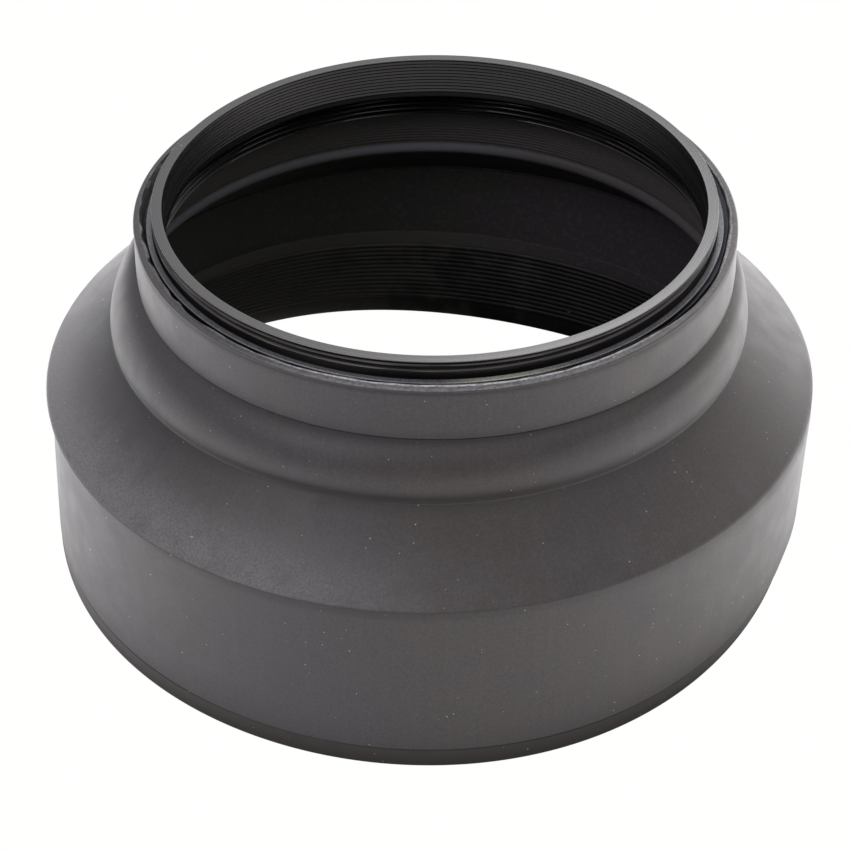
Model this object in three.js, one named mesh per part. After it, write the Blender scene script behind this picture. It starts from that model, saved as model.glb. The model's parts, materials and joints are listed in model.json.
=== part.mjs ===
// Three-position collapsible rubber lens hood for a 67 mm filter thread.
//
// Millimetres. +Z is the optical axis, from the mouth towards the lens, and the origin is the centre of
// the mouth's plane, so the hood stands on its mouth with the threaded mount ring at the top.
// Every piece is a ring round +Z. Its outline is drawn once as (radius, height) and then revolved.
// The rubber is split where it folds: two thin webs turn inside out, and the stages between them stay
// as they are. Positive travel is towards the lens and folds the hood up.

import * as THREE from "three";

// Rings
const SEGMENTS = 64; // facets round each ring
const CURVE_STEPS = 5; // straight steps along each curved stretch of an outline
const GAP = 0.3; // clearance between neighbouring pieces

// Filter thread, M67 x 0.75, drawn as closed ridges
const THREAD_R = 33.5;
const THREAD_PITCH = 0.75;
const THREAD_DEPTH = 0.6134 * THREAD_PITCH;
const THREAD_ROOT_R = THREAD_R - THREAD_DEPTH;

// Mount ring, turned aluminium
const LENS_FACE_Z = 48; // end of the male thread
const SHOULDER_Z = 45.7; // where the lens's own ring seats
const RING_FRONT_Z = 39.3; // where a filter screwed in from the front seats
const RING_R = 34.2;
const BORE_R = 32.2;
const BORE_FRONT_Z = 42.6; // step from the plain bore out to the female thread
const LIP_CHAMFER = 0.25;
const MALE_RIDGES = 2;
const FEMALE_RIDGES = 4;
const UNDERCUT_HEIGHT = 0.6; // plain stretch at the root of the male thread
const RELIEF_WIDTH = 0.1; // groove turned in the shoulder, so that the lens's ring seats clear of the thread
const RELIEF_DEPTH = 0.15;

// Glue channel round the ring, and the bead that fills it
const CHANNEL_Z = 43.1;
const CHANNEL_HEIGHT = 1.6;
const CHANNEL_DEPTH = 0.6;

// Rubber moulding
const WALL = 1.3;
const NECK_R = 35.55;
const NECK_TOP_Z = 45.6;
const REAR_FOLD_Z = 39; // crease under the neck, where the rear web is held
const BAND_R = 38.8;
const BAND_Z = 31.8; // soft crease between the two webs
const BAND_HALF_HEIGHT = 1;
const BAND_TAPER = 0.1; // how much narrower the middle band is at its top than at its crease
const WEB_FLARE = 0.75; // share of its widening that the rear web takes at once, below the neck
const WEB_KNEE = 0.8; // height that the flare takes
const RIDGE_R = 46.9;
const RIDGE_Z = 23.7; // sharp shoulder, the widest place
const RIDGE_STEP = 0.8; // how far the shoulder stands proud of the skirt
const RIDGE_LIP = 0.5;
const SKIRT_TOP_R = RIDGE_R - RIDGE_STEP;
const SKIRT_FOOT_R = 45.6;
const SKIRT_BORE_STEP_Z = 13.2; // the wall is thicker from here to the mouth
const SKIRT_BORE_STEP = 0.3;
const SKIRT_BORE_R = 44.3;
const RIM_HEIGHT = 2.8;
const RIM_ROUND = 0.4;

const black = new THREE.MeshStandardMaterial({ color: 0x17171a, roughness: 0.35, metalness: 0.8 });
const rubber = new THREE.MeshStandardMaterial({ color: 0x3a3a3b, roughness: 0.75, metalness: 0 });
const glue = new THREE.MeshStandardMaterial({ color: 0x0c0c0c, roughness: 0.5, metalness: 0 });

// The cone between the two lower creases falls at a constant slope.
const CONE_SLOPE = (RIDGE_R - BAND_R) / (BAND_Z - RIDGE_Z);
const CONE_WALL = WALL * Math.hypot(1, CONE_SLOPE); // the wall measured level instead of square to it

function coneRadius(z) {
  return BAND_R + (BAND_Z - z) * CONE_SLOPE;
}

// Draws thread ridges from the outline's last point towards +Z or -Z.
function addRidges(outline, count, rootRadius, crestRadius, startZ, direction) {
  for (let i = 0; i < count; i += 1) {
    const z = startZ + direction * i * THREAD_PITCH;
    outline.lineTo(rootRadius, z);
    outline.lineTo(crestRadius, z + (direction * THREAD_PITCH) / 2);
  }
  outline.lineTo(rootRadius, startZ + direction * count * THREAD_PITCH);
}

function mountRingOutline() {
  const outline = new THREE.Path().moveTo(THREAD_R, RING_FRONT_Z);
  outline.lineTo(RING_R, RING_FRONT_Z);
  outline.lineTo(RING_R, CHANNEL_Z);
  outline.lineTo(RING_R - CHANNEL_DEPTH, CHANNEL_Z);
  outline.lineTo(RING_R - CHANNEL_DEPTH, CHANNEL_Z + CHANNEL_HEIGHT);
  outline.lineTo(RING_R, CHANNEL_Z + CHANNEL_HEIGHT);
  outline.lineTo(RING_R, SHOULDER_Z);
  outline.lineTo(THREAD_R + RELIEF_WIDTH, SHOULDER_Z);
  outline.lineTo(THREAD_R + RELIEF_WIDTH, SHOULDER_Z - RELIEF_DEPTH);
  outline.lineTo(THREAD_ROOT_R, SHOULDER_Z - RELIEF_DEPTH);
  addRidges(outline, MALE_RIDGES, THREAD_ROOT_R, THREAD_R, SHOULDER_Z + UNDERCUT_HEIGHT, 1);
  outline.lineTo(THREAD_R - LIP_CHAMFER, LENS_FACE_Z);
  outline.lineTo(BORE_R + LIP_CHAMFER, LENS_FACE_Z);
  outline.lineTo(BORE_R, LENS_FACE_Z - LIP_CHAMFER);
  outline.lineTo(BORE_R, BORE_FRONT_Z);
  addRidges(outline, FEMALE_RIDGES, THREAD_R, THREAD_ROOT_R, BORE_FRONT_Z, -1);
  return outline;
}

function glueBeadOutline() {
  const floor = RING_R - CHANNEL_DEPTH + GAP;
  const outline = new THREE.Path().moveTo(floor, CHANNEL_Z + GAP);
  outline.lineTo(RING_R, CHANNEL_Z + GAP);
  outline.lineTo(RING_R, CHANNEL_Z + CHANNEL_HEIGHT - GAP);
  outline.lineTo(floor, CHANNEL_Z + CHANNEL_HEIGHT - GAP);
  return outline;
}

function neckSleeveOutline() {
  const inner = RING_R + GAP;
  const foot = REAR_FOLD_Z + GAP / 2;
  const round = (NECK_R - inner) / 2;
  const outline = new THREE.Path().moveTo(inner, foot);
  outline.lineTo(NECK_R, foot);
  outline.lineTo(NECK_R, NECK_TOP_Z - round);
  outline.quadraticCurveTo(NECK_R, NECK_TOP_Z, NECK_R - round, NECK_TOP_Z);
  outline.lineTo(inner, NECK_TOP_Z);
  return outline;
}

// Flares out of the neck at once and then falls steeply to the middle band.
function rearFoldWebOutline() {
  const top = REAR_FOLD_Z - GAP / 2;
  const foot = BAND_Z + BAND_HALF_HEIGHT + GAP / 2;
  const middle = (top + foot) / 2;
  const footR = BAND_R - BAND_TAPER;
  const flareR = NECK_R + WEB_FLARE * (footR - NECK_R);
  const outline = new THREE.Path().moveTo(footR - WALL, foot);
  outline.lineTo(footR, foot);
  outline.bezierCurveTo(flareR, middle, flareR, top - WEB_KNEE, NECK_R, top);
  outline.lineTo(NECK_R - WALL, top);
  outline.bezierCurveTo(flareR - WALL, top - 2 * WEB_KNEE, flareR - WALL, middle, footR - WALL, foot);
  return outline;
}

function middleBandOutline() {
  const top = BAND_Z + BAND_HALF_HEIGHT;
  const foot = BAND_Z - BAND_HALF_HEIGHT;
  const outline = new THREE.Path().moveTo(coneRadius(foot) - CONE_WALL, foot);
  outline.lineTo(coneRadius(foot), foot);
  outline.quadraticCurveTo(BAND_R, BAND_Z, BAND_R - BAND_TAPER, top);
  outline.lineTo(BAND_R - BAND_TAPER - WALL, top);
  outline.quadraticCurveTo(BAND_R - WALL, BAND_Z, coneRadius(foot) - CONE_WALL, foot);
  return outline;
}

function frontFoldWebOutline() {
  const top = BAND_Z - BAND_HALF_HEIGHT - GAP;
  const foot = RIDGE_Z + WALL + GAP / 2;
  const outline = new THREE.Path().moveTo(coneRadius(foot) - CONE_WALL, foot);
  outline.lineTo(coneRadius(foot), foot);
  outline.lineTo(coneRadius(top), top);
  outline.lineTo(coneRadius(top) - CONE_WALL, top);
  return outline;
}

function frontSkirtOutline() {
  const top = RIDGE_Z + WALL - GAP / 2;
  const foot = RIM_HEIGHT + GAP / 2;
  const outline = new THREE.Path().moveTo(SKIRT_BORE_R, foot);
  outline.lineTo(SKIRT_FOOT_R, foot);
  outline.lineTo(SKIRT_TOP_R, RIDGE_Z - RIDGE_LIP - RIDGE_STEP / 2);
  outline.lineTo(RIDGE_R, RIDGE_Z - RIDGE_LIP);
  outline.lineTo(RIDGE_R, RIDGE_Z);
  outline.lineTo(coneRadius(top), top);
  outline.lineTo(coneRadius(top) - CONE_WALL, top);
  outline.lineTo(SKIRT_TOP_R - WALL, RIDGE_Z - RIDGE_LIP);
  outline.lineTo(SKIRT_BORE_R + SKIRT_BORE_STEP, SKIRT_BORE_STEP_Z + SKIRT_BORE_STEP);
  outline.lineTo(SKIRT_BORE_R, SKIRT_BORE_STEP_Z);
  return outline;
}

function frontRimOutline() {
  const top = RIM_HEIGHT - GAP / 2;
  const outline = new THREE.Path().moveTo(SKIRT_BORE_R + RIM_ROUND, 0);
  outline.lineTo(SKIRT_FOOT_R - RIM_ROUND, 0);
  outline.quadraticCurveTo(SKIRT_FOOT_R, 0, SKIRT_FOOT_R, RIM_ROUND);
  outline.lineTo(SKIRT_FOOT_R, top);
  outline.lineTo(SKIRT_BORE_R, top);
  outline.lineTo(SKIRT_BORE_R, RIM_ROUND);
  outline.quadraticCurveTo(SKIRT_BORE_R, 0, SKIRT_BORE_R + RIM_ROUND, 0);
  return outline;
}

// Revolves a closed outline, drawn with the rubber or metal on its left, into a solid ring.
function ring(name, outline, material) {
  outline.closePath();
  const geometry = new THREE.LatheGeometry(outline.getPoints(CURVE_STEPS), SEGMENTS);
  geometry.rotateX(Math.PI / 2);
  const mesh = new THREE.Mesh(geometry, material);
  mesh.name = name;
  return mesh;
}

const group = new THREE.Group();
group.add(ring("mount_ring", mountRingOutline(), black));
group.add(ring("adhesive_bead", glueBeadOutline(), glue));
group.add(ring("neck_sleeve", neckSleeveOutline(), rubber));
group.add(ring("rear_fold_web", rearFoldWebOutline(), rubber));
group.add(ring("middle_band", middleBandOutline(), rubber));
group.add(ring("front_fold_web", frontFoldWebOutline(), rubber));
group.add(ring("front_skirt", frontSkirtOutline(), rubber));
group.add(ring("front_rim", frontRimOutline(), rubber));

export default group;
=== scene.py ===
"""Three-position rubber lens hood: fine meshes, materials, floor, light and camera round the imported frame.

Outlines are drawn in millimetres as (radius, height) points, with the rubber or metal on the left of the
line, and revolved round +Z. Azimuth 0 is +X and 90 degrees is +Y; the camera stands at about -90.
"""

import json
import math

import bpy
import numpy as np
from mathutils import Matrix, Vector


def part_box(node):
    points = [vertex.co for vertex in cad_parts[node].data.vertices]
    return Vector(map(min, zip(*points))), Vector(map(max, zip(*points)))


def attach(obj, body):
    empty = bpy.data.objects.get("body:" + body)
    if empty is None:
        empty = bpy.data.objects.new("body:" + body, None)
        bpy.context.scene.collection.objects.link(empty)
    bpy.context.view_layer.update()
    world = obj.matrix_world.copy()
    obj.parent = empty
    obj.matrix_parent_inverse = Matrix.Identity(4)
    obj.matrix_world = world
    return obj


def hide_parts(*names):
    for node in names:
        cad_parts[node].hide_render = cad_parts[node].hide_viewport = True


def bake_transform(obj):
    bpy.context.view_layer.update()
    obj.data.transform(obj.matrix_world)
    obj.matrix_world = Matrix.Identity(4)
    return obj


MM = 0.001
SEGMENTS = 320  # points round each ring
CREASE = math.radians(26)  # an edge that turns by more than this is shaded sharp

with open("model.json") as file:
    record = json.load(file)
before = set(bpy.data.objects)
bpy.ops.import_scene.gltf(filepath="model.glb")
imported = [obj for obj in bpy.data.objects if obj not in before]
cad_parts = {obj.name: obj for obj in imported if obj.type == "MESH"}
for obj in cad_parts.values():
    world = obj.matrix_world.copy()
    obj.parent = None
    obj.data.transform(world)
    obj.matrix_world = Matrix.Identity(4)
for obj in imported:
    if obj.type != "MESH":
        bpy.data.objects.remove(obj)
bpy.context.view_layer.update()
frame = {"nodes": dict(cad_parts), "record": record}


# ---------------------------------------------------------------- measures, in mm, read from the frame


def profile(node):
    """The CAD node's vertices as (radius, height) pairs, in mm, lowest radius first."""
    points = [v.co / MM for v in frame["nodes"][node].data.vertices]
    return sorted((math.hypot(p.x, p.y), p.z) for p in points)


def top(node):
    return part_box(node)[1].z / MM


def foot(node):
    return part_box(node)[0].z / MM


def mount_height(name):
    found = next(m for m in frame["record"]["mounts"] if m["name"] == name)
    return found["pos_m"][2] / MM


LENS_FACE_Z = top("mount_ring")
RING_FRONT_Z = foot("mount_ring")
SHOULDER_Z = mount_height("lens_shoulder")
BORE_R = profile("mount_ring")[0][0]
RING_R = profile("mount_ring")[-1][0]
NECK_R = profile("neck_sleeve")[-1][0]
NECK_TOP_Z = top("neck_sleeve")
REAR_FOLD_Z = (foot("neck_sleeve") + top("rear_fold_web")) / 2
BAND_Z = (top("middle_band") + foot("middle_band")) / 2
RIDGE_R, RIDGE_Z = profile("front_skirt")[-1]
RIM_Z = (top("front_rim") + foot("front_skirt")) / 2
RIM_R = profile("front_rim")[-1][0]
MOUTH_R = profile("front_rim")[0][0]

# Sizes that can't be read straight from the frame
BAND_R = NECK_R + 3.25  # at the crease between the two webs
WALL = 1.3  # of the rubber
THREAD_R = 33.5  # both threads are M67 x 0.75
THREAD_PITCH = 0.75
THREAD_DEPTH = 0.46
BORE_FRONT_Z = RING_FRONT_Z + 3.3  # step from the grooved bore out to the female thread
SEAM_Z = BAND_Z + 1.0  # where the two rubber pieces meet
RIDGE_STEP = 0.75  # how far the ridge stands proud of the skirt
STEP_Z = 13.2  # the wall of the skirt is thicker from here down
RIBS_TOP_Z = 11.3  # the ribbed band inside the mouth
RIBS_FOOT_Z = 2.3


# ---------------------------------------------------------------- outlines


def bezier(a, b, c, d, steps):
    """Points of a cubic curve from a to d, both ends included."""
    t = np.linspace(0, 1, steps + 1)[:, None]
    a, b, c, d = (np.array(p, float) for p in (a, b, c, d))
    curve = (1 - t) ** 3 * a + 3 * (1 - t) ** 2 * t * b + 3 * (1 - t) * t**2 * c + t**3 * d
    return [tuple(p) for p in curve]


def line(a, b, steps):
    return [tuple(p) for p in np.linspace(a, b, steps + 1)]


def rounded(corner, before, after, size, steps=5):
    """A corner rounded off over size mm, towards the points before and after it."""
    corner, before, after = (np.array(p, float) for p in (corner, before, after))
    start = corner + (before - corner) / np.linalg.norm(before - corner) * size
    end = corner + (after - corner) / np.linalg.norm(after - corner) * size
    t = np.linspace(0, 1, steps + 1)[:, None]
    return [tuple(p) for p in (1 - t) ** 2 * start + 2 * (1 - t) * t * corner + t**2 * end]


def ribbed(path, pitch, height, steps=6):
    """The path with round-topped ribs standing out of its right-hand side."""
    path = np.array(path, float)
    along = np.concatenate([[0], np.cumsum(np.hypot(*np.diff(path, axis=0).T))])
    count = round(along[-1] / pitch)
    at = np.linspace(0, along[-1], count * steps + 1)
    points = np.column_stack([np.interp(at, along, path[:, k]) for k in (0, 1)])
    way = np.gradient(points, axis=0)
    way /= np.hypot(*way.T)[:, None]
    swell = height * np.abs(np.sin(np.pi * np.arange(len(at)) / steps))
    return [tuple(p) for p in points + np.column_stack([way[:, 1], -way[:, 0]]) * swell[:, None]]


# ---------------------------------------------------------------- noise round the ring


def wander(theta, seed, lowest, highest):
    """A smooth random line round the ring, about -1 to 1, from waves between two orders."""
    rng = np.random.default_rng(seed)
    orders = np.arange(lowest, highest + 1)
    phases = rng.uniform(0, 2 * np.pi, len(orders))
    sizes = rng.uniform(0.4, 1.0, len(orders))
    total = sum(s * np.cos(n * theta + p) for n, p, s in zip(orders, phases, sizes))
    return total / np.sqrt((sizes**2).sum())


# ---------------------------------------------------------------- meshes


def revolve(name, outline, shape=None, lining=None):
    """Revolves a closed outline into a solid ring.

    shape(theta, radius, height) returns the moved radius and height of the grid of points. The place that
    each point had before that is kept in the attribute "rest", in mm, which the materials read. From the
    outline's point number lining onwards, round the inside of the ring, faces take the second material.
    """
    theta = np.arange(SEGMENTS) * 2 * np.pi / SEGMENTS
    radius, height = (np.array([p[k] for p in outline], float) for k in (0, 1))
    theta, radius = np.meshgrid(theta, radius, indexing="ij")
    height = np.broadcast_to(height, radius.shape)
    rest = np.stack([radius * np.cos(theta), radius * np.sin(theta), height], axis=-1).reshape(-1, 3)
    if shape is not None:
        radius, height = shape(theta, radius, height)
    points = np.stack([radius * np.cos(theta), radius * np.sin(theta), height], axis=-1).reshape(-1, 3)

    rows = len(outline)
    i, k = (a.ravel() for a in np.meshgrid(np.arange(SEGMENTS), np.arange(rows), indexing="ij"))
    i_next, k_next = (i + 1) % SEGMENTS, (k + 1) % rows
    faces = np.stack([i * rows + k, i_next * rows + k, i_next * rows + k_next, i * rows + k_next], axis=1)

    mesh = bpy.data.meshes.new(name)
    mesh.from_pydata((points * MM).tolist(), [], faces.tolist())
    mesh.attributes.new("rest", "FLOAT_VECTOR", "POINT").data.foreach_set("vector", rest.ravel())
    if lining is not None:
        mesh.polygons.foreach_set("material_index", (k >= lining).astype(np.int32))
    mesh.shade_smooth()
    mesh.set_sharp_from_angle(angle=CREASE)
    obj = bpy.data.objects.new(name, mesh)
    bpy.context.scene.collection.objects.link(obj)
    return obj


# ---------------------------------------------------------------- mount ring

GROOVE_PITCH = 0.45
GROOVE_DEPTH = 0.24
LAND_SLANT = 0.1  # mm that the land between two grooves leans back, so that it faces the lip
PLAIN_BORE_END = 0.3  # mm of the bore left without grooves
THREAD_ROWS = 12  # rows of points in one pitch
RUN_OUT = 0.15  # height in which the male thread grows from its undercut
ENTRY = 0.3  # height in which the female thread grows from the ring's front
LIP_ROUND = 0.08
CREST_HEIGHT_AT_X = 46.15  # height of a crest of the male thread at azimuth 0


def thread_crest(theta, height):
    """0 at a right-hand thread's root and 1 on its crest, both with narrow flats."""
    phase = ((height - CREST_HEIGHT_AT_X) / THREAD_PITCH - theta / (2 * np.pi) + 0.5) % 1
    return np.clip(1.3 * (1 - np.abs(2 * phase - 1)) - 0.15, 0, 1)


def thread_rows(radius, start, end):
    return line((radius, start), (radius, end), round(abs(end - start) / THREAD_PITCH * THREAD_ROWS))


def bore_grooves():
    """Fine turned light-trap grooves down the bore, from the lip to the step: a slot, then a slanted land."""
    count = int((LENS_FACE_Z - BORE_FRONT_Z - PLAIN_BORE_END) / GROOVE_PITCH)
    points = []
    for n in range(count):
        z = LENS_FACE_Z - 0.1 - n * GROOVE_PITCH
        points += [
            (BORE_R, z),
            (BORE_R + GROOVE_DEPTH, z - 0.03),
            (BORE_R + GROOVE_DEPTH, z - 0.36 * GROOVE_PITCH),
            (BORE_R + LAND_SLANT, z - 0.4 * GROOVE_PITCH),
        ]
    return points


def mount_ring():
    """The threaded ring, from its front up the outside to the lip, and down the grooved bore."""
    root = THREAD_R - THREAD_DEPTH
    undercut = SHOULDER_Z + 0.55
    thread_top = LENS_FACE_Z - 0.22
    lip_r = THREAD_R - 0.03
    front_chamfer = 0.2
    outline = [
        (THREAD_R + 0.1, RING_FRONT_Z),
        (RING_R - front_chamfer, RING_FRONT_Z),
        (RING_R, RING_FRONT_Z + front_chamfer),
        (RING_R, SHOULDER_Z - 0.1),
        (RING_R - 0.1, SHOULDER_Z),
        (THREAD_R + 0.1, SHOULDER_Z),
        (root, SHOULDER_Z - 0.05),
        (root, undercut - 0.05),
    ]
    outline += thread_rows(root, undercut, thread_top)
    outline += [(lip_r - 0.05, LENS_FACE_Z - 0.14)]
    outline += rounded((lip_r, LENS_FACE_Z), (lip_r, thread_top), (BORE_R, LENS_FACE_Z), LIP_ROUND)
    outline += [(BORE_R + 0.05, LENS_FACE_Z)]
    lining = len(outline)
    outline += bore_grooves()
    outline += [(BORE_R, BORE_FRONT_Z + 0.1), (BORE_R + 0.1, BORE_FRONT_Z), (THREAD_R - 0.02, BORE_FRONT_Z)]
    outline += thread_rows(THREAD_R, BORE_FRONT_Z - 0.3, RING_FRONT_Z + 0.15)

    def cut_threads(theta, radius, height):
        crest = THREAD_DEPTH * thread_crest(theta, height)
        male = (np.abs(radius - root) < 1e-6) & (height >= undercut - 1e-6)
        female = (np.abs(radius - THREAD_R) < 1e-6) & (height < BORE_FRONT_Z)
        run_out = np.clip((height - undercut) / RUN_OUT, 0, 1)
        radius = np.where(male, radius + crest * run_out, radius)
        entry = np.clip((height - RING_FRONT_Z) / ENTRY, 0, 1)
        return np.where(female, radius - crest * entry, radius), height

    ring = revolve("mount_ring_turned", outline, cut_threads, lining)
    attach(ring, "root")
    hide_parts("mount_ring")
    return ring


# ---------------------------------------------------------------- rubber

# Out-of-round shapes as waves round the ring: the mean, then order, cosine and sine, all in mm
SLUMP_AT_BAND = -0.2, ((1, -0.85, 0.1),)
SLUMP_AT_RIDGE = 0.33, ((1, -0.7, 0.43), (2, -0.16, 0.04))
SLUMP_AT_MOUTH = 1.05, ((1, -2.05, 0.3), (2, 0.2, -0.8), (3, 0.55, 0.85), (4, -0.15, 0.35))
SLUMP_POWER = 0.8  # below 1, the skirt takes most of its lean near the ridge
BULGE = 1.0  # mm that the skirt's right side bellies out below the ridge
NECK_FIT = 0.12  # mm between the ring and the neck's lining
BEAD_HEIGHT = 0.5  # height of the rounded bead round the neck's rim
RAGGED = 0.035  # mm that the cut edge wavers
SEAM_R = BAND_R - 0.05  # the two rubber pieces meet here, at SEAM_Z
WEB_RIB_PITCH, WEB_RIB_HEIGHT = 0.5, 0.14
MOUTH_RIB_PITCH, MOUTH_RIB_HEIGHT = 0.69, 0.19
STAND_OFF = (  # azimuth and half width in degrees, and mm, of places where the neck stands off the ring
    (0, 90, 0.38),
    (160, 32, 0.5),
)
WEB_DRAWN_IN = (  # azimuth and half width in degrees, and mm, of places where the rear web falls straighter
    (-5, 75, 0.6),
    (185, 60, 0.4),
)
TRIM_GAPS = (  # azimuth and half width in degrees, and depth in mm, of gaps beside the hand-trimmed rim
    (166, 15, 0.65),
    (181, 4.2, 0.4),
    (188.5, 2.6, 0.36),
    (197.3, 1.8, 0.32),
    (210.5, 1.7, 0.3),
    (218, 5, 0.38),
    (236, 14, 0.16),
    (268, 28, -0.05),
    (330, 15, 0.48),
    (10, 20, 0.3),
)


def waves(theta, mean, terms):
    return mean + sum(c * np.cos(n * theta) + s * np.sin(n * theta) for n, c, s in terms)


def slumped(theta, radius, height):
    """Soft rubber sags out of round below the neck: its folds to one side, and its mouth most of all."""
    below_neck = np.clip((REAR_FOLD_Z - height) / (REAR_FOLD_Z - BAND_Z), 0, 1)
    below_band = np.clip((BAND_Z - height) / (BAND_Z - RIDGE_Z), 0, 1)
    below_ridge = np.clip((RIDGE_Z - height) / RIDGE_Z, 0, 1)
    share = below_ridge**SLUMP_POWER
    out = (1 - below_band) * below_neck * waves(theta, *SLUMP_AT_BAND)
    out += below_band * (1 - share) * waves(theta, *SLUMP_AT_RIDGE) + share * waves(theta, *SLUMP_AT_MOUTH)
    belly = np.clip(below_ridge / 0.08, 0, 1) * np.clip((height - 0.3) / 5, 0, 1)
    right = np.clip(np.cos(theta + 0.1), 0, 1) ** 4
    return radius + out + BULGE * belly * right, height


def bumps(theta, table):
    """The sum of smooth bumps, each given by its azimuth and half width in degrees and its size."""
    total = 0
    for azimuth, half_width, size in table:
        away = (np.degrees(theta) - azimuth + 180) % 360 - 180
        total = total + size * np.clip(1 - (away / half_width) ** 2, 0, 1)
    return total


def trim_gap(theta):
    """How far the hand-trimmed inner edge of the rim stands back from the ring, in mm."""
    return 0.04 + 0.03 * wander(theta, seed=5, lowest=24, highest=60) + bumps(theta, TRIM_GAPS)


def rear_outline(inner):
    """Up the outside of the web, the neck and its rim, and down their inside from point number lining."""
    rim = NECK_R - 0.02
    bead_foot = NECK_TOP_Z - BEAD_HEIGHT
    web_inner_top = (inner - 0.05, REAR_FOLD_Z - 0.15)
    flare = NECK_R + 0.72 * (BAND_R - NECK_R)
    middle = (REAR_FOLD_Z + SEAM_Z) / 2
    outline = line((SEAM_R - WALL, SEAM_Z), (SEAM_R, SEAM_Z), 1)
    outline += bezier(
        (SEAM_R + 0.03, SEAM_Z + 0.08),
        (SEAM_R + 0.68, SEAM_Z + 2.2),
        (flare, REAR_FOLD_Z - 0.8),
        (NECK_R + 0.05, REAR_FOLD_Z - 0.12),
        26,
    )
    outline += [(NECK_R - 0.1, REAR_FOLD_Z - 0.02), (NECK_R + 0.06, REAR_FOLD_Z + 0.1)]
    outline += line((NECK_R + 0.04, REAR_FOLD_Z + 0.3), (NECK_R - 0.05, bead_foot - 0.45), 12)
    outline += [(NECK_R - 0.12, bead_foot - 0.2), (NECK_R - 0.16, bead_foot - 0.03)]
    outline += [(NECK_R - 0.13, bead_foot + 0.1), (rim - 0.04, bead_foot + 0.22)]
    outline += rounded((rim, NECK_TOP_Z), (rim, bead_foot), (inner, NECK_TOP_Z), 0.3, 6)
    outline += line((rim - 0.45, NECK_TOP_Z + 0.02), (inner + 0.25, NECK_TOP_Z + 0.02), 3)
    outline += [(inner + 0.1, NECK_TOP_Z - 0.01), (inner, NECK_TOP_Z - 0.1)]
    lining = len(outline)
    outline += line((inner, NECK_TOP_Z - 0.35), (inner, RING_FRONT_Z - 0.1), 6)
    inside = bezier(
        web_inner_top,
        (flare - WALL + 0.05, REAR_FOLD_Z - 1.6),
        (flare - WALL + 0.1, middle - 0.2),
        (SEAM_R - WALL, SEAM_Z + 0.15),
        40,
    )
    outline += ribbed(inside, WEB_RIB_PITCH, WEB_RIB_HEIGHT)
    return outline, lining


def rear_rubber():
    """The neck over the mount ring, its trimmed rim, and the web that folds."""
    inner = RING_R + NECK_FIT
    outline, lining = rear_outline(inner)
    is_lining = np.arange(len(outline)) >= lining

    def shape(theta, radius, height):
        # The lining stays against the ring except near the rim, so that it closes on the glue.
        start = np.where(is_lining, NECK_TOP_Z - 2.5, REAR_FOLD_Z - 2.5)
        rise = np.where(is_lining, 2, 4)
        stand_off = bumps(theta, STAND_OFF) * np.clip((height - start) / rise, 0, 1)

        # The web is drawn in halfway down.
        down = np.clip((REAR_FOLD_Z - height) / (REAR_FOLD_Z - SEAM_Z), 0, 1)
        drawn_in = bumps(theta, WEB_DRAWN_IN) * 4 * down * (1 - down)

        # Only the rim's inner edge is trimmed, and its cut wavers.
        near_edge = np.clip((inner + 0.55 - radius) / 0.5, 0, 1)
        near_edge = near_edge * np.clip((height - NECK_TOP_Z + 0.6) / 0.5, 0, 1)
        ragged = wander(theta, seed=9, lowest=40, highest=75)
        trimmed = np.maximum(trim_gap(theta) + RAGGED * ragged, 0.03 - NECK_FIT)
        moved = radius + stand_off - drawn_in + near_edge * trimmed
        lifted = height + near_edge * 0.05 * ragged * (height > NECK_TOP_Z - 0.3)
        return slumped(theta, moved, lifted)

    rubber = revolve("rubber_neck_and_rear_fold", outline, shape, lining)
    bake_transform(rubber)
    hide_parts("neck_sleeve", "rear_fold_web")
    return rubber


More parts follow.
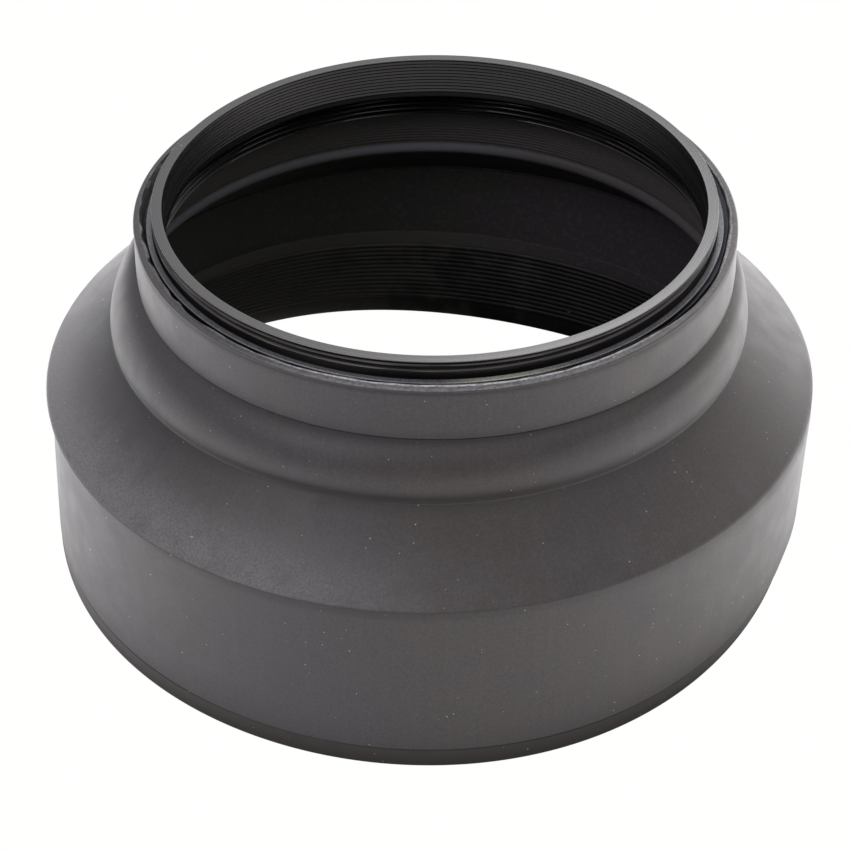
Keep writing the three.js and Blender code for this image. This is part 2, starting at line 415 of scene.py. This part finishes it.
def front_outline():
    """Up the outside of the rim, skirt, cone and crease, and down their inside from point number lining."""
    slope = (RIDGE_R - BAND_R) / (BAND_Z - RIDGE_Z)
    skirt_top = (RIDGE_R - RIDGE_STEP, RIDGE_Z - 0.85)
    skirt_foot = (RIM_R + 0.04, RIM_Z)
    lip_top = (RIM_R - 0.03, RIM_Z - 0.3)
    groove_r = RIM_R - 0.11
    outline = rounded((MOUTH_R, 0), (MOUTH_R, 3), (RIM_R, 0), 0.35)
    outline += rounded((RIM_R - 0.12, 0), (MOUTH_R, 0), lip_top, 0.45, 6)
    outline += line((groove_r, 0.9), lip_top, 4)
    outline += [(groove_r, RIM_Z - 0.2), (groove_r, RIM_Z - 0.1)]
    outline += line(skirt_foot, skirt_top, 24)
    outline += [(RIDGE_R - 0.35, RIDGE_Z - 0.5), (RIDGE_R - 0.06, RIDGE_Z - 0.3)]
    outline += rounded((RIDGE_R, RIDGE_Z), (RIDGE_R, RIDGE_Z - 1), (BAND_R, BAND_Z), 0.26, 5)
    crease = (BAND_R - 0.22, BAND_Z + 0.22 / slope)
    outline += line((RIDGE_R - 0.5, RIDGE_Z + 0.5 / slope), (BAND_R + 0.1, BAND_Z - 0.1 / slope), 20)
    outline += rounded(crease, (BAND_R, BAND_Z), (SEAM_R, SEAM_Z), 0.14, 3) + [(SEAM_R, SEAM_Z)]
    lining = len(outline)

    # Down the inside: the roll behind the crease, the cone, a ledge under the ridge, the step and the ribs.
    roll_r = BAND_R - WALL - 0.65
    under_roll = (BAND_R - WALL + 0.5, BAND_Z - 1.1)
    outline += [(SEAM_R - WALL, SEAM_Z)]
    outline += bezier(
        (SEAM_R - WALL, SEAM_Z - 0.1),
        (roll_r, SEAM_Z - 0.3),
        (roll_r, BAND_Z - 0.9),
        under_roll,
        12,
    )
    ledge_r, ledge_z = RIDGE_R - 1.6, RIDGE_Z - 0.3
    outline += line(under_roll, (ledge_r, ledge_z), 14)[1:]
    outline += [(ledge_r - 0.02, ledge_z - 0.12), (ledge_r - 0.24, ledge_z - 0.16)]
    outline += line((ledge_r - 0.26, RIDGE_Z - 0.8), (MOUTH_R + 0.52, STEP_Z + 0.12), 10)
    outline += [(MOUTH_R + 0.27, STEP_Z), (MOUTH_R + 0.26, STEP_Z - 0.1), (MOUTH_R + 0.3, RIBS_TOP_Z + 0.1)]
    ribs = line((MOUTH_R + 0.3, RIBS_TOP_Z), (MOUTH_R + 0.15, RIBS_FOOT_Z), 40)
    outline += ribbed(ribs, MOUTH_RIB_PITCH, MOUTH_RIB_HEIGHT)
    outline += [(MOUTH_R + 0.12, RIBS_FOOT_Z - 0.1)]
    return outline, lining


def front_rubber():
    """The middle band's crease, the cone that folds, the skirt and the thick rim of the mouth."""
    outline, lining = front_outline()
    rubber = revolve("rubber_front_fold_and_skirt", outline, slumped, lining)
    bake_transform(rubber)
    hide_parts("middle_band", "front_fold_web", "front_skirt", "front_rim")
    return rubber


def adhesive():
    """Cured glue squeezed up between the ring and the rubber, with an uneven top."""
    inner, outer = RING_R + 0.01, RING_R + 0.1
    glue_top = NECK_TOP_Z - 0.45
    outline = [(inner, RING_FRONT_Z + 0.2), (outer, RING_FRONT_Z + 0.2)]
    outline += line((outer, RING_FRONT_Z + 0.8), (outer, glue_top - 0.2), 4)
    outline += rounded((outer, glue_top), (outer, glue_top - 1), (inner, glue_top), 0.04, 2)
    outline += line((inner, glue_top - 0.2), (inner, RING_FRONT_Z + 0.8), 4)

    def shape(theta, radius, height):
        near_top = np.clip((height - glue_top + 0.5) / 0.5, 0, 1)
        outward = (radius > inner + 0.02) * near_top
        # The top stands higher and smoother in front and on the right than elsewhere.
        right = np.clip(np.cos(theta) * 4 - 2.8, 0, 1)
        front = np.clip(-np.sin(theta) * 3 - 1.5, 0, 1)
        reach = np.minimum(trim_gap(theta), 0.3) * 0.8 + right * (0.05 + bumps(theta, STAND_OFF) * 0.5)
        uneven = (0.16 - 0.12 * right) * (1 - 0.7 * front)
        lumps = uneven * wander(theta, seed=17, lowest=12, highest=48) + 0.34 * right + 0.36 * front
        return radius + outward * reach, height + near_top * lumps

    bead = revolve("adhesive_fillet", outline, shape)
    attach(bead, "root")
    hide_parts("adhesive_bead")
    return bead


# ---------------------------------------------------------------- materials


class Nodes:
    """A node tree with short calls for adding and joining its nodes."""

    def __init__(self, tree):
        self.tree = tree

    def put(self, socket, value):
        """Links a socket into another, or sets it to a value."""
        if isinstance(value, bpy.types.NodeSocket):
            self.tree.links.new(value, socket)
        else:
            socket.default_value = value

    def add(self, kind, inputs=(), **settings):
        """Adds a node. inputs is a list of values or sockets, or a dict of them by name."""
        node = self.tree.nodes.new("ShaderNode" + kind)
        for key, value in settings.items():
            setattr(node, key, value)
        pairs = inputs.items() if isinstance(inputs, dict) else enumerate(inputs)
        for key, value in pairs:
            self.put(node.inputs[key], value)
        return node

    def math(self, operation, *values):
        return self.add("Math", values, operation=operation).outputs[0]

    def product(self, first, *others):
        for other in others:
            first = self.math("MULTIPLY", first, other)
        return first

    def ramp(self, value, low, high, to_low=0.0, to_high=1.0, kind="SMOOTHSTEP"):
        """Maps low..high onto to_low..to_high, and holds the ends."""
        inputs = {"Value": value, 1: low, 2: high, 3: to_low, 4: to_high}
        return self.add("MapRange", inputs, interpolation_type=kind).outputs[0]

    def noise(self, vector, scale, detail=3.0, roughness=0.55):
        inputs = {"Vector": vector, "Scale": scale, "Detail": detail, "Roughness": roughness}
        return self.add("TexNoise", inputs).outputs["Fac"]

    def scaled(self, vector, factors):
        return self.add("VectorMath", (vector, factors), operation="MULTIPLY").outputs[0]

    def mix(self, factor, a, b):
        """The colour a, turned into b by the factor."""
        return self.add("Mix", {0: factor, 6: a, 7: b}, data_type="RGBA").outputs[2]


class Shader(Nodes):
    """A material whose looks are drawn by the place of each point."""

    def __init__(self, name):
        self.material = bpy.data.materials.new(name)
        self.material.use_nodes = True
        super().__init__(self.material.node_tree)
        self.surface = self.tree.nodes["Principled BSDF"]

    def locate(self, vector):
        """Keeps the place of each point: at is the vector, x, y and z are its parts, and r is the radius."""
        self.at = vector
        self.x, self.y, self.z = self.add("SeparateXYZ", (vector,)).outputs
        square = self.math("ADD", self.product(self.x, self.x), self.product(self.y, self.y))
        self.r = self.math("SQRT", square)

    def around(self):
        """The point moved level onto a cylinder of the hood's size, for streaks that run across its folds."""
        to_cylinder = self.math("DIVIDE", RIM_R, self.r)
        x, y = (self.product(part, to_cylinder) for part in (self.x, self.y))
        return self.add("CombineXYZ", (x, y, self.z)).outputs[0]

    def tool_lines(self):
        """Fine lines that run round a turned piece."""
        return self.noise(self.add("CombineXYZ", (self.r, self.z, 0.0)).outputs[0], 14.0, 2.0)

    def specks(self, base, vector, density, size, colour):
        """Sparse small specks over the base: about density of them to a millimetre, each of its own size."""
        cells = self.add("TexVoronoi", {"Vector": vector, "Scale": density}, feature="F1")
        spot = self.product(self.ramp(cells.outputs["Color"], 0.5, 1.0), size)
        inside = self.math("LESS_THAN", cells.outputs["Distance"], spot)
        return self.mix(self.product(inside, 0.6), base, colour)

    def bump(self, height, distance, strength):
        return self.add("Bump", {"Height": height, "Distance": distance, "Strength": strength}).outputs[0]

    def finish(self, values):
        """Sets the surface's inputs, given by name, and returns the material."""
        for name, value in values.items():
            self.put(self.surface.inputs[name], value)
        return self.material


def hood_shader(name):
    """A shader drawn by the place that each point had before sagging and folding, in mm."""
    s = Shader(name)
    s.locate(s.add("Attribute", attribute_name="rest").outputs["Vector"])
    return s


# Rubber, with its colours linear
COOL_RUBBER = (0.0275, 0.0236, 0.0305, 1)
WARM_RUBBER = (0.0360, 0.0256, 0.0224, 1)
PATCH_TINT = (0.042, 0.037, 0.0405, 1)
STREAK_TINT = (0.05, 0.046, 0.048, 1)
GRAIN_TINT = (0.014, 0.0132, 0.0132, 1)
# Dark brown of the mouth rim's low band: partly its own tone, partly painted shade
MOUTH_RIM_TONE_AND_SHADE = (0.0105, 0.0066, 0.0052, 1)
# Pale cut edge of the rim, lightened further as a painted highlight
CUT_EDGE_AND_HIGHLIGHT = (0.64, 0.63, 0.66, 1)
# Painted shade, laid into the colour of creases and undercuts
PAINTED_SHADE = (0.008, 0.007, 0.008, 1)
RUBBED_RUBBER = (0.2, 0.194, 0.208, 1)


def tinted(s, patch, grain, streak):
    """Rubber cooler on the left and warmer on the right, with clouds and fine streaks across the folds, and a
    darker low band round the mouth that is partly painted shade.
    """
    cloud = s.noise(s.at, 0.05, 4.0)
    side = s.ramp(s.math("ADD", s.x, s.ramp(cloud, 0.3, 0.7, -30, 30)), -40, 40)
    base = s.mix(side, COOL_RUBBER, WARM_RUBBER)
    base = s.mix(s.ramp(patch, 0.35, 0.7, 0, 0.45), base, PATCH_TINT)
    base = s.mix(s.ramp(streak, 0.4, 0.75, 0, 0.2), base, STREAK_TINT)
    base = s.mix(s.ramp(grain, 0.38, 0.62, 0, 0.5), base, GRAIN_TINT)
    # The low band of the mouth rim is darker: partly its own brown tone, partly painted shade of its
    # downward-facing foot
    low = s.ramp(s.z, RIM_Z + 0.1, RIM_Z - 0.2)
    return s.mix(s.product(low, 0.95), base, MOUTH_RIM_TONE_AND_SHADE)


def with_cut_edge_and_highlight(s, base):
    """The cut edge of the rim is pale, partly its own colour and partly a painted highlight, and fainter on
    the left and right.
    """
    cut = s.product(
        s.ramp(s.z, NECK_TOP_Z - 0.16, NECK_TOP_Z - 0.04),
        s.ramp(s.r, NECK_R - 0.7, NECK_R - 0.9, 0.22, 1.0),
        s.ramp(s.noise(s.at, 2.2, 4.0), 0.35, 0.6, 0.45, 1.0),
        s.ramp(s.x, -28, -8, 0.2, 1.0),
        s.ramp(s.x, 12, 26, 1.0, 0.45),
    )
    return s.mix(cut, base, CUT_EDGE_AND_HIGHLIGHT)


def with_painted_shade(s, base):
    """Painted shade under the rim's bead, under the ridge and in the crease below the band, most on the left.
    """
    under_bead = s.product(
        s.ramp(s.z, NECK_TOP_Z - 0.95, NECK_TOP_Z - 0.6),
        s.ramp(s.z, NECK_TOP_Z - 0.36, NECK_TOP_Z - 0.48),
        s.ramp(s.x, 15, -5, 0.25, 0.6),
    )
    under_ridge = s.product(
        s.ramp(s.z, RIDGE_Z - 2.1, RIDGE_Z - 1.2),
        s.ramp(s.z, RIDGE_Z - 0.1, RIDGE_Z - 0.3),
        s.ramp(s.x, 10, -10, 0.3, 0.6),
    )
    in_crease = s.product(
        s.ramp(s.z, BAND_Z - 1.3, BAND_Z + 0.1),
        s.ramp(s.z, SEAM_Z + 1.6, SEAM_Z),
        s.ramp(s.x, 15, -15, 0.25, 0.6),
    )
    # Each of these places is painted darker, as shade
    for place in (under_bead, under_ridge, in_crease):
        base = s.mix(place, base, PAINTED_SHADE)
    return base


def rubbed_haze(s, patch):
    """The rubbed haze above the ridge, strongest on the front left, where the hood is gripped."""
    return s.product(
        s.ramp(s.z, RIDGE_Z - 0.1, RIDGE_Z + 0.1),
        s.ramp(s.z, RIDGE_Z + 7.5, RIDGE_Z + 0.6),
        s.ramp(s.math("MULTIPLY_ADD", s.y, 0.5, s.x), -12, -48, 0.12, 1.0),
        s.ramp(patch, 0.2, 0.6, 0.6, 1.0),
        s.ramp(s.noise(s.at, 4.2, 4.0, 0.7), 0.35, 0.65, 0.5, 1.0),
    )


def rubber_material():
    """Matte charcoal rubber: faint tints and mottling, dust, painted shade in its hollows, a pale cut edge
    with a painted highlight, a rubbed haze and fine scratches.
    """
    s = hood_shader("hood_rubber")
    around = s.around()
    patch = s.noise(s.at, 0.3)
    grain = s.noise(s.at, 3.2)
    streak = s.noise(s.scaled(around, (1.3, 1.3, 0.05)), 1.0, 2.0)

    base = tinted(s, patch, grain, streak)
    # The rim's pale cut edge, partly a painted highlight, brightest in front
    base = with_cut_edge_and_highlight(s, base)
    # Painted shade under the bead and the ridge and in the crease
    base = with_painted_shade(s, base)
    rubbed = rubbed_haze(s, patch)
    base = s.mix(s.product(rubbed, 0.6), base, RUBBED_RUBBER)

    dust = s.specks(base, s.at, 1.4, 0.105, (0.55, 0.53, 0.5, 1))
    dust = s.specks(dust, s.at, 0.45, 0.07, (0.5, 0.48, 0.46, 1))
    scratched = s.specks(dust, s.scaled(around, (1.0, 1.0, 0.22)), 0.28, 0.05, (0.30, 0.29, 0.29, 1))

    height = s.math("ADD", s.product(grain, 0.5), s.product(streak, 0.6))
    return s.finish({
        "Base Color": scratched,
        "Roughness": s.math("ADD", s.ramp(patch, 0.3, 0.7, 0.44, 0.52), s.product(rubbed, 0.1)),
        "Normal": s.bump(height, 0.02 * MM, 0.6),
        "Specular IOR Level": 0.5,
        "Sheen Weight": 0.2,
        "Sheen Roughness": 0.35,
    })


# Lining
GREENISH_LINING = (0.046, 0.047, 0.039, 1)
VIOLET_LINING = (0.048, 0.041, 0.048, 1)
CHALK = (0.1, 0.095, 0.1, 1)
PALE_BELOW_STEP = (0.1, 0.095, 0.085, 1)
# Painted shade for the cone that folds and for the ribs inside the mouth
FOLD_SHADE = (0.004, 0.004, 0.004, 1)
RIB_SHADE = (0.003, 0.0026, 0.0022, 1)
ABOVE_FOLD_GREY = (0.1, 0.092, 0.09, 1)
# Painted highlight on the roll of the fold
FOLD_PAINTED_HIGHLIGHT = (0.2, 0.2, 0.24, 1)


def lining_material():
    """The dead-black inside of the rubber: chalky mottling, greenish on the left and violet on the right."""
    s = hood_shader("hood_lining")
    patch = s.noise(s.at, 0.28, 4.0)
    grain = s.noise(s.at, 1.6)
    side = s.ramp(s.math("ADD", s.x, s.ramp(patch, 0.3, 0.7, -12, 12)), -18, 22)
    base = s.mix(side, GREENISH_LINING, VIOLET_LINING)
    base = s.mix(s.ramp(grain, 0.45, 0.75, 0, 0.3), base, CHALK)
    # Paler below the step, most on the left
    below_step = s.product(s.ramp(s.z, STEP_Z + 0.2, STEP_Z - 0.1), s.ramp(s.x, 24, -6))
    base = s.mix(s.product(below_step, 0.6), base, PALE_BELOW_STEP)

    # Painted shade on the cone that folds, which faces down, and on the ribs near the floor, deepest on the
    # right.
    in_fold = s.product(
        s.ramp(s.z, RIDGE_Z - 0.6, RIDGE_Z + 0.6),
        s.ramp(s.z, BAND_Z - 0.7, BAND_Z - 1.2),
    )
    base = s.mix(s.product(in_fold, 0.6), base, FOLD_SHADE)
    in_ribs = s.ramp(s.z, RIBS_TOP_Z + 0.4, RIBS_TOP_Z - 0.4)
    base = s.mix(s.product(in_ribs, s.ramp(side, 0, 1, 0.62, 0.9)), base, RIB_SHADE)

    # Paler above the fold, with a painted highlight where it starts that is strongest on the left.
    above_fold = s.ramp(s.z, SEAM_Z - 1.7, SEAM_Z - 1.1)
    base = s.mix(s.product(above_fold, 0.35), base, ABOVE_FOLD_GREY)
    fold_highlight = s.product(above_fold, s.ramp(s.z, SEAM_Z, SEAM_Z - 0.6))
    base = s.mix(s.product(fold_highlight, s.ramp(s.x, 20, -5, 0.1, 0.55)), base, FOLD_PAINTED_HIGHLIGHT)
    return s.finish({
        "Base Color": s.specks(base, s.at, 0.2, 0.05, (0.3, 0.29, 0.27, 1)),
        "Roughness": s.ramp(patch, 0.3, 0.7, 0.42, 0.52),
        "Normal": s.bump(grain, 0.04 * MM, 0.5),
        "Specular IOR Level": 0.15,
    })


# Anodised aluminium
RING_BLACK = (0.05, 0.048, 0.05, 1)
RING_WORN = (0.062, 0.056, 0.055, 1)
TOOL_LINE = (0.085, 0.083, 0.085, 1)
RUBBED_LIP = (0.105, 0.103, 0.106, 1)
RUBBED_LIP_LINE = (0.18, 0.178, 0.18, 1)
DUST_THIN = (0.07, 0.07, 0.08, 1)
DUST_THICK = (0.17, 0.17, 0.185, 1)
BARE_METAL = (0.37, 0.385, 0.32, 1)
BORE_BLACK = (0.115, 0.111, 0.108, 1)
BORE_LINE = (0.17, 0.166, 0.164, 1)
# Painted shade for the filter thread
THREAD_SHADE = (0.006, 0.005, 0.006, 1)


def ring_material():
    """Black-anodised turned aluminium: tool lines, a rubbed lip, and a dusty ledge worn bare in one place."""
    s = hood_shader("anodised_ring")
    lines = s.tool_lines()
    base = s.mix(s.ramp(s.noise(s.at, 0.25), 0.3, 0.7), RING_BLACK, RING_WORN)
    base = s.mix(s.ramp(lines, 0.4, 0.7, 0, 0.6), base, TOOL_LINE)
    on_lip = s.ramp(s.z, LENS_FACE_Z - 0.12, LENS_FACE_Z - 0.03)
    base = s.mix(on_lip, base, s.mix(s.ramp(lines, 0.35, 0.7), RUBBED_LIP, RUBBED_LIP_LINE))

    # The ledge that the lens seats on.
    on_ledge = s.product(
        s.ramp(s.r, THREAD_R, THREAD_R + 0.1),
        s.ramp(s.z, SHOULDER_Z - 0.15, SHOULDER_Z - 0.05),
    )
    crumbs = s.noise(s.at, 8.0)
    base = s.mix(on_ledge, base, s.mix(s.ramp(crumbs, 0.4, 0.65), DUST_THIN, DUST_THICK))
    side = s.product(s.ramp(s.x, 0, 6), s.ramp(s.x, 17, 8))
    bare = s.product(on_ledge, side, s.ramp(s.y, -20, -26), s.ramp(crumbs, 0.3, 0.6, 0.35, 1.0))
    base = s.mix(bare, base, BARE_METAL)
    return s.finish({
        "Base Color": s.specks(base, s.at, 0.35, 0.09, (0.6, 0.58, 0.55, 1)),
        "Roughness": s.ramp(lines, 0.3, 0.7, 0.2, 0.34),
        "Normal": s.bump(lines, 0.01 * MM, 0.35),
        "Metallic": s.math("SUBTRACT", 1.0, s.product(on_ledge, 0.85)),
    })


def bore_material():
    """The bore's matter black anodising, with painted shade down in the filter thread."""
    s = hood_shader("anodised_bore")
    lines = s.tool_lines()
    base = s.mix(s.ramp(lines, 0.4, 0.7, 0, 0.6), BORE_BLACK, BORE_LINE)
    # Painted shade: the filter thread below the bore's step is darkened
    in_thread = s.ramp(s.z, BORE_FRONT_Z + 0.05, BORE_FRONT_Z - 0.05, 0, 0.75)
    return s.finish({
        "Base Color": s.mix(in_thread, base, THREAD_SHADE),
        "Roughness": s.ramp(lines, 0.3, 0.7, 0.22, 0.36),
        "Normal": s.bump(lines, 0.01 * MM, 0.35),
        "Metallic": 1.0,
    })


# Glue
GLUE_BLACK = (0.016, 0.015, 0.016, 1)
GLUE_LUMP = (0.04, 0.038, 0.04, 1)
# Painted sheen of the glossy glue on the right
GLUE_SHEEN = (0.055, 0.058, 0.07, 1)
GLUE_SHEEN_LUMP = (0.085, 0.09, 0.105, 1)
GLUE_DUST = (0.15, 0.15, 0.165, 1)


def adhesive_material():
    """Black glue, dusty in front, with a painted blue-grey sheen on the right, where it fills the widest gap.
    """
    s = hood_shader("black_adhesive")
    lumps = s.noise(s.at, 2.2)
    lumpy = s.ramp(lumps, 0.35, 0.7)
    # The blue-grey on the right is a painted sheen of the glue
    base = s.mix(s.ramp(s.x, 26, 31), s.mix(lumpy, GLUE_BLACK, GLUE_LUMP), s.mix(lumpy, GLUE_SHEEN, GLUE_SHEEN_LUMP))
    dusty = s.product(s.ramp(s.y, -22, -28), s.ramp(s.x, 16, 9))
    return s.finish({
        "Base Color": s.mix(dusty, base, GLUE_DUST),
        "Roughness": s.ramp(lumps, 0.3, 0.7, 0.28, 0.5),
        "Normal": s.bump(lumps, 0.05 * MM, 0.6),
    })


def finish_with(materials, *objects):
    for obj in objects:
        for material in materials:
            obj.data.materials.append(material)


# ---------------------------------------------------------------- studio

CAMERA_AT = Vector((0.0, -271.6, 220.9)) * MM
CAMERA_DOWN = math.radians(37.31)  # how far below level the camera looks
LENS_MM = 114.93
SENSOR_MM = 36
SHIFT_X = -0.01165
CEILING = 1.1  # strength of the white ceiling
FLOOR_HALF_WIDTH = 3.0  # metres
SOFTBOXES = (  # name, way to it, distance, width and height in metres, and radiance
    ("softbox_left", (-0.55, -0.5, 0.67), 0.85, (0.45, 0.45), 1.8),
    ("softbox_right", (0.57, 0.8, 0.1), 0.85, (0.5, 0.5), 2.4),
    ("softbox_behind", (0.22, 0.63, 0.75), 0.9, (0.42, 0.45), 2.4),
)


def camera():
    data = bpy.data.cameras.new("camera")
    data.sensor_width = SENSOR_MM
    data.lens = LENS_MM
    data.shift_x = SHIFT_X
    data.clip_start = 10 * MM
    data.dof.use_dof = False
    obj = bpy.data.objects.new("camera", data)
    obj.location = CAMERA_AT
    obj.rotation_euler = (math.pi / 2 - CAMERA_DOWN, 0, 0)
    bpy.context.scene.collection.objects.link(obj)
    bpy.context.scene.camera = obj


def plane(name, height, material):
    """A wide level square, which isn't part of the hood."""
    size = FLOOR_HALF_WIDTH
    mesh = bpy.data.meshes.new(name)
    corners = [(-size, -size, height), (size, -size, height), (size, size, height), (-size, size, height)]
    mesh.from_pydata(corners, [], [(0, 1, 2, 3)])
    obj = bpy.data.objects.new(name, mesh)
    bpy.context.scene.collection.objects.link(obj)
    finish_with([material], obj)
    return obj


def floor():
    """What the camera sees of the white table: plain white, and no light comes from it."""
    white = Shader("white_floor").finish({
        "Base Color": (0, 0, 0, 1),
        "Emission Color": (1, 1, 0.995, 1),
        "Emission Strength": 1.0,
        "Specular IOR Level": 0.0,
    })
    seen = plane("floor", 0.0, white)
    seen.visible_diffuse = False
    seen.visible_glossy = False
    seen.visible_shadow = False


def floor_light():
    """The light that the table throws up, from just under it, hidden from the camera.

    None comes from inside the mouth. It is dim beside the hood's foot, in front and on the left, and fades
    out far away.
    """
    s = Shader("floor_light")
    s.locate(s.add("TexCoord").outputs["Object"])
    from_viewer = s.add("VectorMath", (s.at, (0, -0.13, 0)), operation="DISTANCE").outputs["Value"]
    near_foot = s.ramp(s.r, (RIM_R - 1) * MM, (RIM_R + 8) * MM, 0.12, 1.0)
    far = s.product(
        s.ramp(s.r, (RIM_R + 5) * MM, (RIM_R + 35) * MM, 0.92, 1.35),
        s.ramp(s.r, 0.15, 0.35, 1.0, 0.45),
    )
    open_glow = s.product(s.ramp(from_viewer, 0.03, 0.16, 0.58, 1.5), s.product(near_foot, far))
    open_glow = s.product(open_glow, s.ramp(s.x, -0.12, 0.0, 0.82, 1.0))
    covered = s.ramp(s.r, MOUTH_R * MM, (MOUTH_R - 1.5) * MM)
    # The table's colour is darker beside the foot and under the mouth: painted shade in the light it bounces
    base = s.mix(near_foot, (0.2, 0.18, 0.17, 1), (0.55, 0.55, 0.55, 1))
    glowing = s.finish({
        "Base Color": s.mix(covered, base, (0.1, 0.1, 0.1, 1)),
        "Roughness": 0.9,
        "Emission Color": (1, 0.985, 0.995, 1),
        "Emission Strength": s.product(open_glow, s.math("SUBTRACT", 1.0, covered)),
        "Specular IOR Level": 0.0,
    })
    plane("floor_light", -0.02 * MM, glowing).visible_camera = False


def softbox(name, direction, distance, size, radiance):
    """A rectangular light that faces the middle of the hood from the given direction."""
    data = bpy.data.lights.new(name, "AREA")
    data.shape = "RECTANGLE"
    data.size, data.size_y = size
    data.energy = radiance * math.pi * size[0] * size[1]
    obj = bpy.data.objects.new(name, data)
    way = Vector(direction).normalized()
    obj.location = Vector((0, 0, LENS_FACE_Z / 2 * MM)) + way * distance
    obj.rotation_euler = way.to_track_quat("Z", "Y").to_euler()
    bpy.context.scene.collection.objects.link(obj)


def surround():
    """A white room, dimmer in front and on the left, and brightest overhead. To the camera it is plain."""
    world = bpy.data.worlds.new("white_room")
    bpy.context.scene.world = world
    world.use_nodes = True
    room = Nodes(world.node_tree)
    way = room.add("TexCoord").outputs["Generated"]
    x, y, z = room.add("SeparateXYZ", (way,)).outputs
    walls = room.product(
        room.ramp(y, -0.95, 0.2, 0.36, 0.85),
        room.ramp(x, -0.9, 0.2, 0.6, 1.0, "LINEAR"),
    )
    light = room.ramp(z, 0.3, 0.9, walls, CEILING)
    to_camera = room.add("LightPath").outputs["Is Camera Ray"]
    plain = room.add("Mix", {"Factor": to_camera, "A": light, "B": 1.0}).outputs["Result"]
    background = world.node_tree.nodes["Background"]
    room.put(background.inputs["Strength"], plain)
    room.put(background.inputs["Color"], (1, 0.988, 1, 1))


# ---------------------------------------------------------------- the scene

camera()
floor()
floor_light()
surround()
for box in SOFTBOXES:
    softbox(*box)
bpy.context.scene.view_settings.view_transform = "Standard"

finish_with([ring_material(), bore_material()], mount_ring())
finish_with([adhesive_material()], adhesive())
finish_with([rubber_material(), lining_material()], rear_rubber(), front_rubber())
